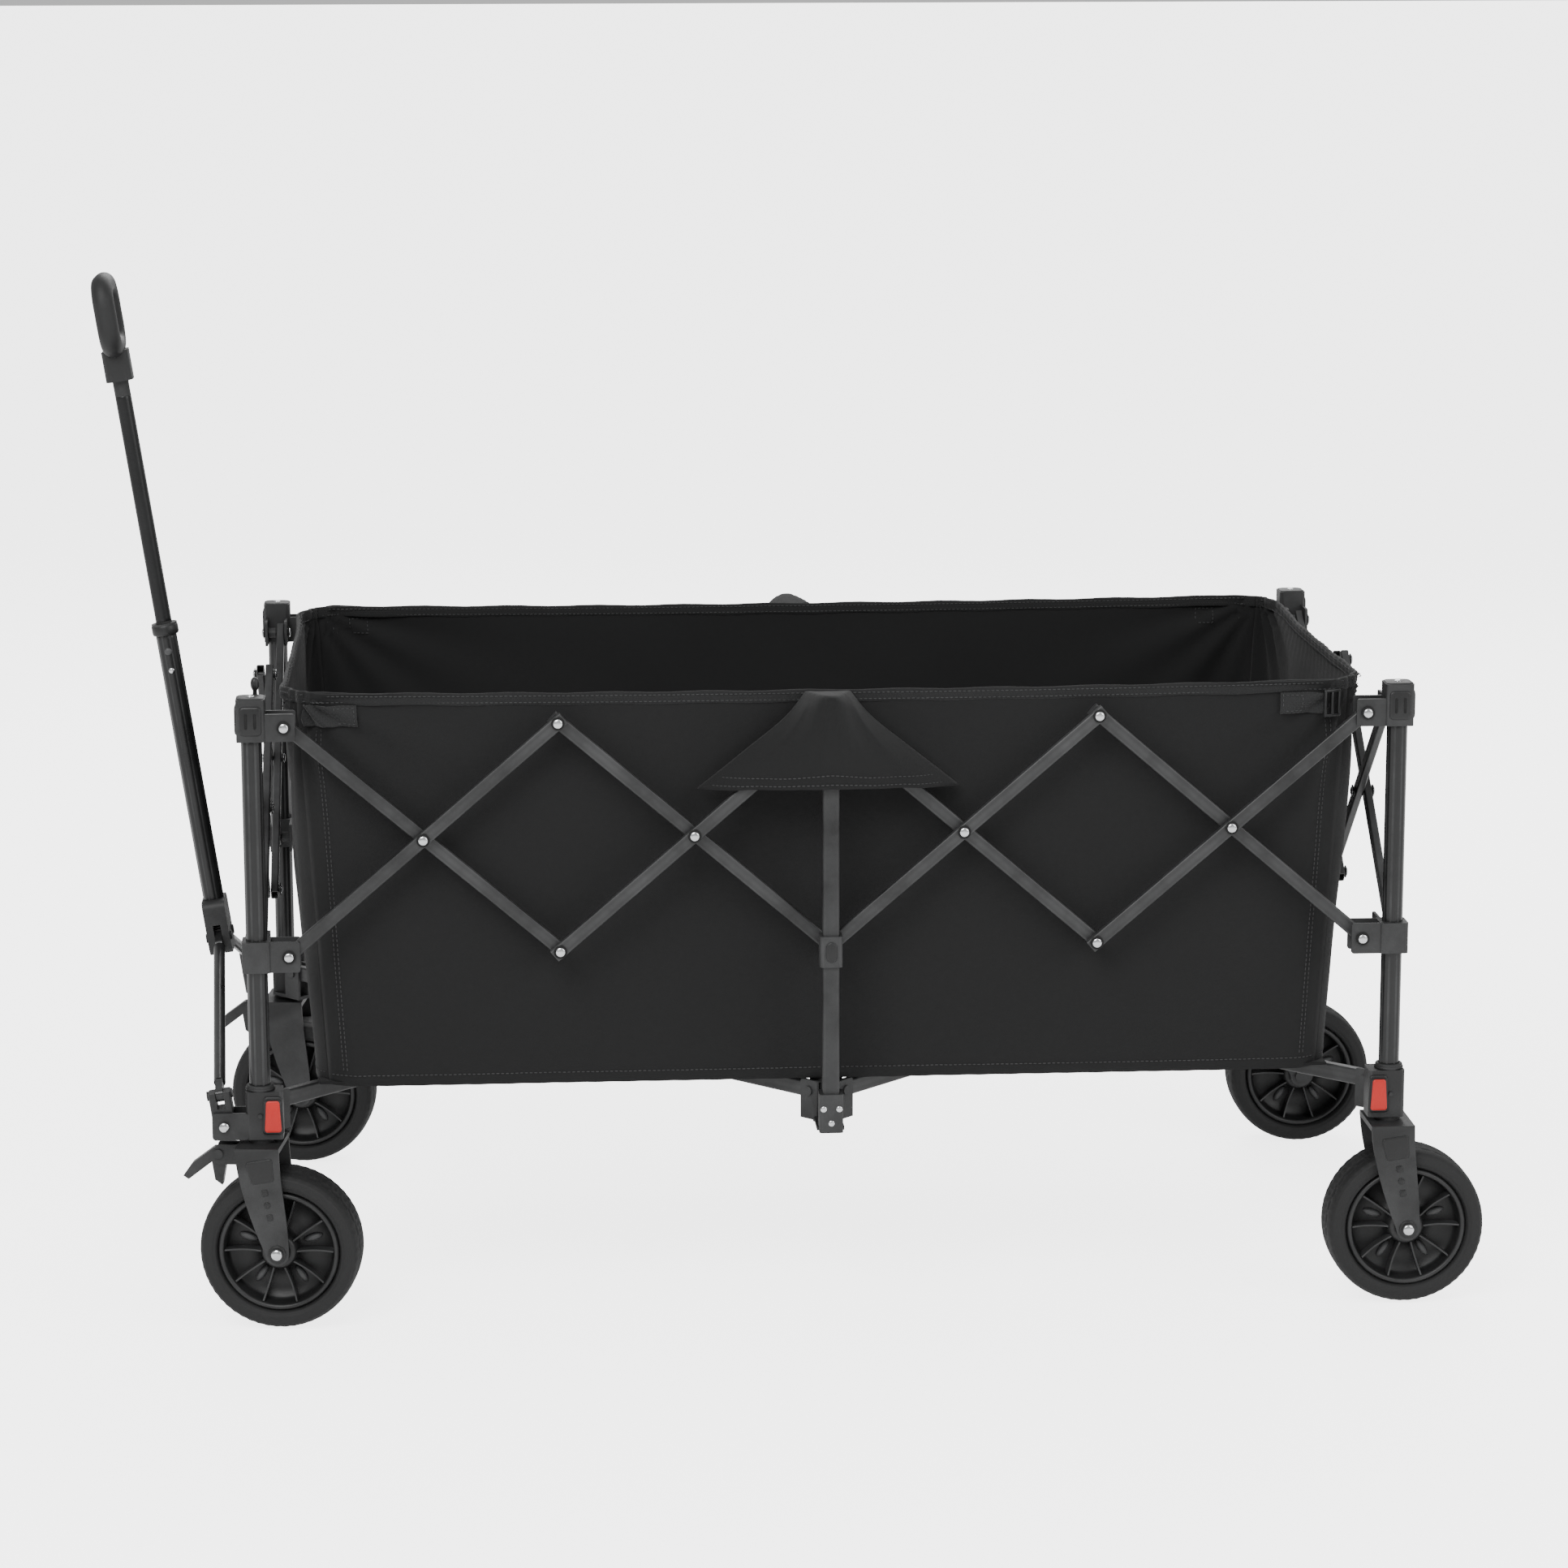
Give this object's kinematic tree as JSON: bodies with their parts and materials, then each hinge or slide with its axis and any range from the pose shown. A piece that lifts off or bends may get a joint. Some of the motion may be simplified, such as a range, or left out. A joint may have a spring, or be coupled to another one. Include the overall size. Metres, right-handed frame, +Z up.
{
  "type": "folding wagon with pull handle",
  "caption": "Folding utility wagon: fabric tub hung in a scissor frame on posts, four wheels, and a telescoping pull handle on a pitching Y of two rods.",
  "frame": {"origin": "on the ground, below the centre of the whole object's bounding box with the handle raised", "axes": "+X from the handle end to the rear, +Y across the wagon away from the near side, +Z up"},
  "size_m": [1.5264, 0.736, 1.1206],
  "materials": {
    "tub_fabric": "matte weave",
    "frame_steel": "satin powder coat",
    "frame_plastic": "fine texture",
    "wheel_rubber": "matte",
    "handle_aluminium": "satin black"
  },
  "bodies": {
    "near_bar_1_top": {"near_bar_1_top": "frame_steel"},
    "near_bar_1_low": {"near_bar_1_low": "frame_steel"},
    "near_bar_2_top": {"near_bar_2_top": "frame_steel"},
    "near_bar_2_low": {"near_bar_2_low": "frame_steel"},
    "near_bar_3_top": {"near_bar_3_top": "frame_steel"},
    "near_bar_3_low": {"near_bar_3_low": "frame_steel"},
    "near_bar_4_top": {"near_bar_4_top": "frame_steel"},
    "near_bar_4_low": {"near_bar_4_low": "frame_steel"},
    "far_bar_1_top": {"far_bar_1_top": "frame_steel"},
    "far_bar_1_low": {"far_bar_1_low": "frame_steel"},
    "far_bar_2_top": {"far_bar_2_top": "frame_steel"},
    "far_bar_2_low": {"far_bar_2_low": "frame_steel"},
    "far_bar_3_top": {"far_bar_3_top": "frame_steel"},
    "far_bar_3_low": {"far_bar_3_low": "frame_steel"},
    "far_bar_4_top": {"far_bar_4_top": "frame_steel"},
    "far_bar_4_low": {"far_bar_4_low": "frame_steel"},
    "front_bar_1_top": {"front_bar_1_top": "frame_steel"},
    "front_bar_1_low": {"front_bar_1_low": "frame_steel"},
    "front_bar_2_top": {"front_bar_2_top": "frame_steel"},
    "front_bar_2_low": {"front_bar_2_low": "frame_steel"},
    "rear_bar_1_top": {"rear_bar_1_top": "frame_steel"},
    "rear_bar_1_low": {"rear_bar_1_low": "frame_steel"},
    "rear_bar_2_top": {"rear_bar_2_top": "frame_steel"},
    "rear_bar_2_low": {"rear_bar_2_low": "frame_steel"},
    "front_near_post": {"front_near_post": "frame_steel"},
    "front_near_slider": {"front_near_slider": "frame_plastic"},
    "front_near_wheel": {"front_near_wheel": "wheel_rubber"},
    "front_near_fork": {"front_near_fork": "frame_steel"},
    "front_near_brake_pedal": {"front_near_brake_pedal": "frame_steel"},
    "front_far_post": {"front_far_post": "frame_steel"},
    "front_far_slider": {"front_far_slider": "frame_plastic"},
    "front_far_wheel": {"front_far_wheel": "wheel_rubber"},
    "front_far_fork": {"front_far_fork": "frame_steel"},
    "front_far_brake_pedal": {"front_far_brake_pedal": "frame_steel"},
    "rear_near_post": {"rear_near_post": "frame_steel"},
    "rear_near_slider": {"rear_near_slider": "frame_plastic"},
    "rear_near_wheel": {"rear_near_wheel": "wheel_rubber"},
    "rear_far_post": {"rear_far_post": "frame_steel"},
    "rear_far_slider": {"rear_far_slider": "frame_plastic"},
    "rear_far_wheel": {"rear_far_wheel": "wheel_rubber"},
    "near_middle_post": {"near_middle_post": "frame_steel"},
    "near_middle_slider": {"near_middle_slider": "frame_plastic"},
    "far_middle_post": {"far_middle_post": "frame_steel"},
    "far_middle_slider": {"far_middle_slider": "frame_plastic"},
    "front_near_corner_arm": {"front_near_corner_arm": "frame_steel"},
    "front_near_middle_arm": {"front_near_middle_arm": "frame_steel"},
    "front_far_corner_arm": {"front_far_corner_arm": "frame_steel"},
    "front_far_middle_arm": {"front_far_middle_arm": "frame_steel"},
    "front_hub": {"front_hub": "frame_plastic"},
    "rear_near_corner_arm": {"rear_near_corner_arm": "frame_steel"},
    "rear_near_middle_arm": {"rear_near_middle_arm": "frame_steel"},
    "rear_far_corner_arm": {"rear_far_corner_arm": "frame_steel"},
    "rear_far_middle_arm": {"rear_far_middle_arm": "frame_steel"},
    "rear_hub": {"rear_hub": "frame_plastic"},
    "handle_near_block": {"handle_near_block": "frame_plastic"},
    "handle_near_rod": {"handle_near_rod": "frame_steel"},
    "handle_far_rod": {"handle_far_rod": "frame_steel"},
    "handle_outer_tube": {"handle_outer_tube": "frame_steel"},
    "handle_inner_tube": {"handle_inner_tube": "handle_aluminium"},
    "fabric_tub": {"fabric_tub": "tub_fabric"}
  },
  "joints": [
    {"name": "fold", "type": "slide", "parent": "fabric_tub", "child": "front_near_post", "axis": [0.8944, 0.4472, 0], "range_m": [0, 0.35934], "deforming": ["fabric_tub"]},
    {"name": "fold_front_far_post", "type": "slide", "parent": "fabric_tub", "child": "front_far_post", "axis": [0.8944, -0.4472, 0], "range_m": [0, 0.35934]},
    {"name": "fold_rear_near_post", "type": "slide", "parent": "fabric_tub", "child": "rear_near_post", "axis": [-0.8944, 0.4472, 0], "range_m": [0, 0.35934]},
    {"name": "fold_rear_far_post", "type": "slide", "parent": "fabric_tub", "child": "rear_far_post", "axis": [-0.8944, -0.4472, 0], "range_m": [0, 0.35934]},
    {"name": "fold_near_middle_post", "type": "slide", "parent": "fabric_tub", "child": "near_middle_post", "axis": [0, 1, 0], "range_m": [0, 0.1607]},
    {"name": "fold_far_middle_post", "type": "slide", "parent": "fabric_tub", "child": "far_middle_post", "axis": [0, -1, 0], "range_m": [0, 0.1607]},
    {"name": "fold_front_hub", "type": "slide", "parent": "fabric_tub", "child": "front_hub", "axis": [0.4518, 0, 0.8921], "range_m": [0, 0.35571]},
    {"name": "front_near_corner_arm_pivot", "type": "hinge", "parent": "front_near_post", "child": "front_near_corner_arm", "pos_m": [-0.56683, -0.2935, 0.243], "axis": [0.7071, -0.7071, 0], "range_deg": [0, 71.22]},
    {"name": "front_near_middle_arm_pivot", "type": "hinge", "parent": "near_middle_post", "child": "front_near_middle_arm", "pos_m": [0.02317, -0.2935, 0.243], "axis": [0.7071, 0.7071, 0], "range_deg": [0, 71.22]},
    {"name": "front_far_corner_arm_pivot", "type": "hinge", "parent": "front_far_post", "child": "front_far_corner_arm", "pos_m": [-0.56683, 0.2965, 0.243], "axis": [-0.7071, -0.7071, 0], "range_deg": [0, 71.22]},
    {"name": "front_far_middle_arm_pivot", "type": "hinge", "parent": "far_middle_post", "child": "front_far_middle_arm", "pos_m": [0.02317, 0.2965, 0.243], "axis": [-0.7071, 0.7071, 0], "range_deg": [0, 71.22]},
    {"name": "fold_rear_hub", "type": "slide", "parent": "fabric_tub", "child": "rear_hub", "axis": [-0.4518, 0, 0.8921], "range_m": [0, 0.35571]},
    {"name": "rear_near_corner_arm_pivot", "type": "hinge", "parent": "rear_near_post", "child": "rear_near_corner_arm", "pos_m": [0.64117, -0.2935, 0.243], "axis": [0.7071, 0.7071, 0], "range_deg": [0, 71.22]},
    {"name": "rear_near_middle_arm_pivot", "type": "hinge", "parent": "near_middle_post", "child": "rear_near_middle_arm", "pos_m": [0.05117, -0.2935, 0.243], "axis": [0.7071, -0.7071, 0], "range_deg": [0, 71.22]},
    {"name": "rear_far_corner_arm_pivot", "type": "hinge", "parent": "rear_far_post", "child": "rear_far_corner_arm", "pos_m": [0.64117, 0.2965, 0.243], "axis": [-0.7071, 0.7071, 0], "range_deg": [0, 71.22]},
    {"name": "rear_far_middle_arm_pivot", "type": "hinge", "parent": "far_middle_post", "child": "rear_far_middle_arm", "pos_m": [0.05117, 0.2965, 0.243], "axis": [-0.7071, -0.7071, 0], "range_deg": [0, 71.22]},
    {"name": "near_bar_1_top_pivot", "type": "hinge", "parent": "front_near_post", "child": "near_bar_1_top", "pos_m": [-0.54683, -0.3255, 0.664], "axis": [0, 1, 0], "range_deg": [0, 29.39]},
    {"name": "near_bar_1_crossing", "type": "hinge", "parent": "near_bar_1_top", "child": "near_bar_1_low", "pos_m": [-0.40083, -0.3255, 0.53854], "axis": [0, -1, 0], "range_deg": [0, 58.77]},
    {"name": "front_near_slider_pivot", "type": "hinge", "parent": "near_bar_1_low", "child": "front_near_slider", "pos_m": [-0.54683, -0.3255, 0.41308], "axis": [0, 1, 0], "range_deg": [0, 29.39]},
    {"name": "near_bar_2_top_pivot", "type": "hinge", "parent": "near_middle_post", "child": "near_bar_2_top", "pos_m": [0.03717, -0.3255, 0.664], "axis": [0, -1, 0], "range_deg": [0, 29.39]},
    {"name": "near_bar_2_crossing", "type": "hinge", "parent": "near_bar_2_top", "child": "near_bar_2_low", "pos_m": [-0.10883, -0.3255, 0.53854], "axis": [0, 1, 0], "range_deg": [0, 58.77]},
    {"name": "near_middle_slider_pivot", "type": "hinge", "parent": "near_bar_2_low", "child": "near_middle_slider", "pos_m": [0.03717, -0.3255, 0.41308], "axis": [0, -1, 0], "range_deg": [0, 29.39]},
    {"name": "near_bar_3_top_pivot", "type": "hinge", "parent": "near_middle_post", "child": "near_bar_3_top", "pos_m": [0.03717, -0.3255, 0.664], "axis": [0, 1, 0], "range_deg": [0, 29.39]},
    {"name": "near_bar_3_crossing", "type": "hinge", "parent": "near_bar_3_top", "child": "near_bar_3_low", "pos_m": [0.18317, -0.3255, 0.53854], "axis": [0, -1, 0], "range_deg": [0, 58.77]},
    {"name": "near_bar_4_top_pivot", "type": "hinge", "parent": "rear_near_post", "child": "near_bar_4_top", "pos_m": [0.62117, -0.3255, 0.664], "axis": [0, -1, 0], "range_deg": [0, 29.39]},
    {"name": "near_bar_4_crossing", "type": "hinge", "parent": "near_bar_4_top", "child": "near_bar_4_low", "pos_m": [0.47517, -0.3255, 0.53854], "axis": [0, 1, 0], "range_deg": [0, 58.77]},
    {"name": "rear_near_slider_pivot", "type": "hinge", "parent": "near_bar_4_low", "child": "rear_near_slider", "pos_m": [0.62117, -0.3255, 0.41308], "axis": [0, -1, 0], "range_deg": [0, 29.39]},
    {"name": "far_bar_1_top_pivot", "type": "hinge", "parent": "rear_far_post", "child": "far_bar_1_top", "pos_m": [0.62117, 0.3285, 0.664], "axis": [0, -1, 0], "range_deg": [0, 29.39]},
    {"name": "far_bar_1_crossing", "type": "hinge", "parent": "far_bar_1_top", "child": "far_bar_1_low", "pos_m": [0.47517, 0.3285, 0.53854], "axis": [0, 1, 0], "range_deg": [0, 58.77]},
    {"name": "rear_far_slider_pivot", "type": "hinge", "parent": "far_bar_1_low", "child": "rear_far_slider", "pos_m": [0.62117, 0.3285, 0.41308], "axis": [0, -1, 0], "range_deg": [0, 29.39]},
    {"name": "far_bar_2_top_pivot", "type": "hinge", "parent": "far_middle_post", "child": "far_bar_2_top", "pos_m": [0.03717, 0.3285, 0.664], "axis": [0, 1, 0], "range_deg": [0, 29.39]},
    {"name": "far_bar_2_crossing", "type": "hinge", "parent": "far_bar_2_top", "child": "far_bar_2_low", "pos_m": [0.18317, 0.3285, 0.53854], "axis": [0, -1, 0], "range_deg": [0, 58.77]},
    {"name": "far_middle_slider_pivot", "type": "hinge", "parent": "far_bar_2_low", "child": "far_middle_slider", "pos_m": [0.03717, 0.3285, 0.41308], "axis": [0, 1, 0], "range_deg": [0, 29.39]},
    {"name": "far_bar_3_top_pivot", "type": "hinge", "parent": "far_middle_post", "child": "far_bar_3_top", "pos_m": [0.03717, 0.3285, 0.664], "axis": [0, -1, 0], "range_deg": [0, 29.39]},
    {"name": "far_bar_3_crossing", "type": "hinge", "parent": "far_bar_3_top", "child": "far_bar_3_low", "pos_m": [-0.10883, 0.3285, 0.53854], "axis": [0, 1, 0], "range_deg": [0, 58.77]},
    {"name": "far_bar_4_top_pivot", "type": "hinge", "parent": "front_far_post", "child": "far_bar_4_top", "pos_m": [-0.54683, 0.3285, 0.664], "axis": [0, 1, 0], "range_deg": [0, 29.39]},
    {"name": "far_bar_4_crossing", "type": "hinge", "parent": "far_bar_4_top", "child": "far_bar_4_low", "pos_m": [-0.40083, 0.3285, 0.53854], "axis": [0, -1, 0], "range_deg": [0, 58.77]},
    {"name": "front_far_slider_pivot", "type": "hinge", "parent": "far_bar_4_low", "child": "front_far_slider", "pos_m": [-0.54683, 0.3285, 0.41308], "axis": [0, 1, 0], "range_deg": [0, 29.39]},
    {"name": "front_bar_1_top_pivot", "type": "hinge", "parent": "front_far_post", "child": "front_bar_1_top", "pos_m": [-0.58183, 0.2935, 0.664], "axis": [1, 0, 0], "range_deg": [0, 29.39]},
    {"name": "front_bar_1_crossing", "type": "hinge", "parent": "front_bar_1_top", "child": "front_bar_1_low", "pos_m": [-0.58183, 0.1475, 0.53854], "axis": [-1, 0, 0], "range_deg": [0, 58.77]},
    {"name": "front_bar_2_top_pivot", "type": "hinge", "parent": "front_near_post", "child": "front_bar_2_top", "pos_m": [-0.58183, -0.2905, 0.664], "axis": [-1, 0, 0], "range_deg": [0, 29.39]},
    {"name": "front_bar_2_crossing", "type": "hinge", "parent": "front_bar_2_top", "child": "front_bar_2_low", "pos_m": [-0.58183, -0.1445, 0.53854], "axis": [1, 0, 0], "range_deg": [0, 58.77]},
    {"name": "rear_bar_1_top_pivot", "type": "hinge", "parent": "rear_near_post", "child": "rear_bar_1_top", "pos_m": [0.65617, -0.2905, 0.664], "axis": [-1, 0, 0], "range_deg": [0, 29.39]},
    {"name": "rear_bar_1_crossing", "type": "hinge", "parent": "rear_bar_1_top", "child": "rear_bar_1_low", "pos_m": [0.65617, -0.1445, 0.53854], "axis": [1, 0, 0], "range_deg": [0, 58.77]},
    {"name": "rear_bar_2_top_pivot", "type": "hinge", "parent": "rear_far_post", "child": "rear_bar_2_top", "pos_m": [0.65617, 0.2935, 0.664], "axis": [1, 0, 0], "range_deg": [0, 29.39]},
    {"name": "rear_bar_2_crossing", "type": "hinge", "parent": "rear_bar_2_top", "child": "rear_bar_2_low", "pos_m": [0.65617, 0.1475, 0.53854], "axis": [-1, 0, 0], "range_deg": [0, 58.77]},
    {"name": "front_near_swivel", "type": "hinge", "parent": "front_near_post", "child": "front_near_fork", "pos_m": [-0.58183, -0.3255, 0.206], "axis": [0, 0, 1], "continuous": true},
    {"name": "front_near_wheel_spin", "type": "hinge", "parent": "front_near_fork", "child": "front_near_wheel", "pos_m": [-0.56198, -0.32794, 0.088], "axis": [0.1219, 0.9925, 0], "continuous": true},
    {"name": "front_near_brake", "type": "hinge", "parent": "front_near_fork", "child": "front_near_brake_pedal", "pos_m": [-0.62749, -0.3199, 0.193], "axis": [-0.1219, -0.9925, 0], "range_deg": [0, 12]},
    {"name": "rear_near_wheel_spin", "type": "hinge", "parent": "rear_near_post", "child": "rear_near_wheel", "pos_m": [0.67517, -0.3255, 0.088], "axis": [0, 1, 0], "continuous": true},
    {"name": "front_far_swivel", "type": "hinge", "parent": "front_far_post", "child": "front_far_fork", "pos_m": [-0.58183, 0.3285, 0.206], "axis": [0, 0, 1], "continuous": true},
    {"name": "front_far_wheel_spin", "type": "hinge", "parent": "front_far_fork", "child": "front_far_wheel", "pos_m": [-0.56198, 0.32606, 0.088], "axis": [0.1219, 0.9925, 0], "continuous": true},
    {"name": "front_far_brake", "type": "hinge", "parent": "front_far_fork", "child": "front_far_brake_pedal", "pos_m": [-0.62749, 0.3341, 0.193], "axis": [-0.1219, -0.9925, 0], "range_deg": [0, 12]},
    {"name": "rear_far_wheel_spin", "type": "hinge", "parent": "rear_far_post", "child": "rear_far_wheel", "pos_m": [0.67517, 0.3285, 0.088], "axis": [0, 1, 0], "continuous": true},
    {"name": "handle_pitch", "type": "hinge", "parent": "front_near_post", "child": "handle_near_block", "pos_m": [-0.62083, -0.3255, 0.226], "axis": [0, -1, 0], "range_deg": [-6, 72]},
    {"name": "handle_near_rod_swing", "type": "hinge", "parent": "handle_near_block", "child": "handle_near_rod", "pos_m": [-0.62565, -0.3255, 0.25865], "axis": [0.9893, 0, 0.1461], "range_deg": [0, 44.18]},
    {"name": "handle_junction_swing", "type": "hinge", "parent": "handle_near_rod", "child": "handle_outer_tube", "pos_m": [-0.64085, -0.0135, 0.36153], "axis": [-0.9893, 0, -0.1461], "range_deg": [0, 44.18]},
    {"name": "handle_far_rod_swing", "type": "hinge", "parent": "handle_outer_tube", "child": "handle_far_rod", "pos_m": [-0.64085, 0.0165, 0.36153], "axis": [-0.9893, 0, -0.1461], "range_deg": [0, 44.18]},
    {"name": "handle_telescope", "type": "slide", "parent": "handle_outer_tube", "child": "handle_inner_tube", "axis": [-0.1461, 0, 0.9893], "range_m": [-0.26, 0]}
  ],
  "couplings": [
    {"joint": "fold_front_far_post", "follows": "fold", "ratio": 1},
    {"joint": "fold_rear_near_post", "follows": "fold", "ratio": 1},
    {"joint": "fold_rear_far_post", "follows": "fold", "ratio": 1},
    {"joint": "fold_near_middle_post", "follows": "fold", "ratio": 0.44721},
    {"joint": "fold_far_middle_post", "follows": "fold", "ratio": 0.44721},
    {"joint": "fold_front_hub", "follows": "fold", "ratio": 0.9899},
    {"joint": "front_near_corner_arm_pivot", "follows": "fold", "rad_per_m": 3.459},
    {"joint": "front_near_middle_arm_pivot", "follows": "fold", "rad_per_m": 3.459},
    {"joint": "front_far_corner_arm_pivot", "follows": "fold", "rad_per_m": 3.459},
    {"joint": "front_far_middle_arm_pivot", "follows": "fold", "rad_per_m": 3.459},
    {"joint": "fold_rear_hub", "follows": "fold", "ratio": 0.9899},
    {"joint": "rear_near_corner_arm_pivot", "follows": "fold", "rad_per_m": 3.459},
    {"joint": "rear_near_middle_arm_pivot", "follows": "fold", "rad_per_m": 3.459},
    {"joint": "rear_far_corner_arm_pivot", "follows": "fold", "rad_per_m": 3.459},
    {"joint": "rear_far_middle_arm_pivot", "follows": "fold", "rad_per_m": 3.459},
    {"joint": "near_bar_1_top_pivot", "follows": "fold", "rad_per_m": 1.4273},
    {"joint": "near_bar_1_crossing", "follows": "fold", "rad_per_m": 2.8547},
    {"joint": "front_near_slider_pivot", "follows": "fold", "rad_per_m": 1.4273},
    {"joint": "near_bar_2_top_pivot", "follows": "fold", "rad_per_m": 1.4273},
    {"joint": "near_bar_2_crossing", "follows": "fold", "rad_per_m": 2.8547},
    {"joint": "near_middle_slider_pivot", "follows": "fold", "rad_per_m": 1.4273},
    {"joint": "near_bar_3_top_pivot", "follows": "fold", "rad_per_m": 1.4273},
    {"joint": "near_bar_3_crossing", "follows": "fold", "rad_per_m": 2.8547},
    {"joint": "near_bar_4_top_pivot", "follows": "fold", "rad_per_m": 1.4273},
    {"joint": "near_bar_4_crossing", "follows": "fold", "rad_per_m": 2.8547},
    {"joint": "rear_near_slider_pivot", "follows": "fold", "rad_per_m": 1.4273},
    {"joint": "far_bar_1_top_pivot", "follows": "fold", "rad_per_m": 1.4273},
    {"joint": "far_bar_1_crossing", "follows": "fold", "rad_per_m": 2.8547},
    {"joint": "rear_far_slider_pivot", "follows": "fold", "rad_per_m": 1.4273},
    {"joint": "far_bar_2_top_pivot", "follows": "fold", "rad_per_m": 1.4273},
    {"joint": "far_bar_2_crossing", "follows": "fold", "rad_per_m": 2.8547},
    {"joint": "far_middle_slider_pivot", "follows": "fold", "rad_per_m": 1.4273},
    {"joint": "far_bar_3_top_pivot", "follows": "fold", "rad_per_m": 1.4273},
    {"joint": "far_bar_3_crossing", "follows": "fold", "rad_per_m": 2.8547},
    {"joint": "far_bar_4_top_pivot", "follows": "fold", "rad_per_m": 1.4273},
    {"joint": "far_bar_4_crossing", "follows": "fold", "rad_per_m": 2.8547},
    {"joint": "front_far_slider_pivot", "follows": "fold", "rad_per_m": 1.4273},
    {"joint": "front_bar_1_top_pivot", "follows": "fold", "rad_per_m": 1.4273},
    {"joint": "front_bar_1_crossing", "follows": "fold", "rad_per_m": 2.8547},
    {"joint": "front_bar_2_top_pivot", "follows": "fold", "rad_per_m": 1.4273},
    {"joint": "front_bar_2_crossing", "follows": "fold", "rad_per_m": 2.8547},
    {"joint": "rear_bar_1_top_pivot", "follows": "fold", "rad_per_m": 1.4273},
    {"joint": "rear_bar_1_crossing", "follows": "fold", "rad_per_m": 2.8547},
    {"joint": "rear_bar_2_top_pivot", "follows": "fold", "rad_per_m": 1.4273},
    {"joint": "rear_bar_2_crossing", "follows": "fold", "rad_per_m": 2.8547},
    {"joint": "handle_near_rod_swing", "follows": "fold", "rad_per_m": 2.1456},
    {"joint": "handle_junction_swing", "follows": "fold", "rad_per_m": 2.1456},
    {"joint": "handle_far_rod_swing", "follows": "fold", "rad_per_m": 2.1456}
  ]
}
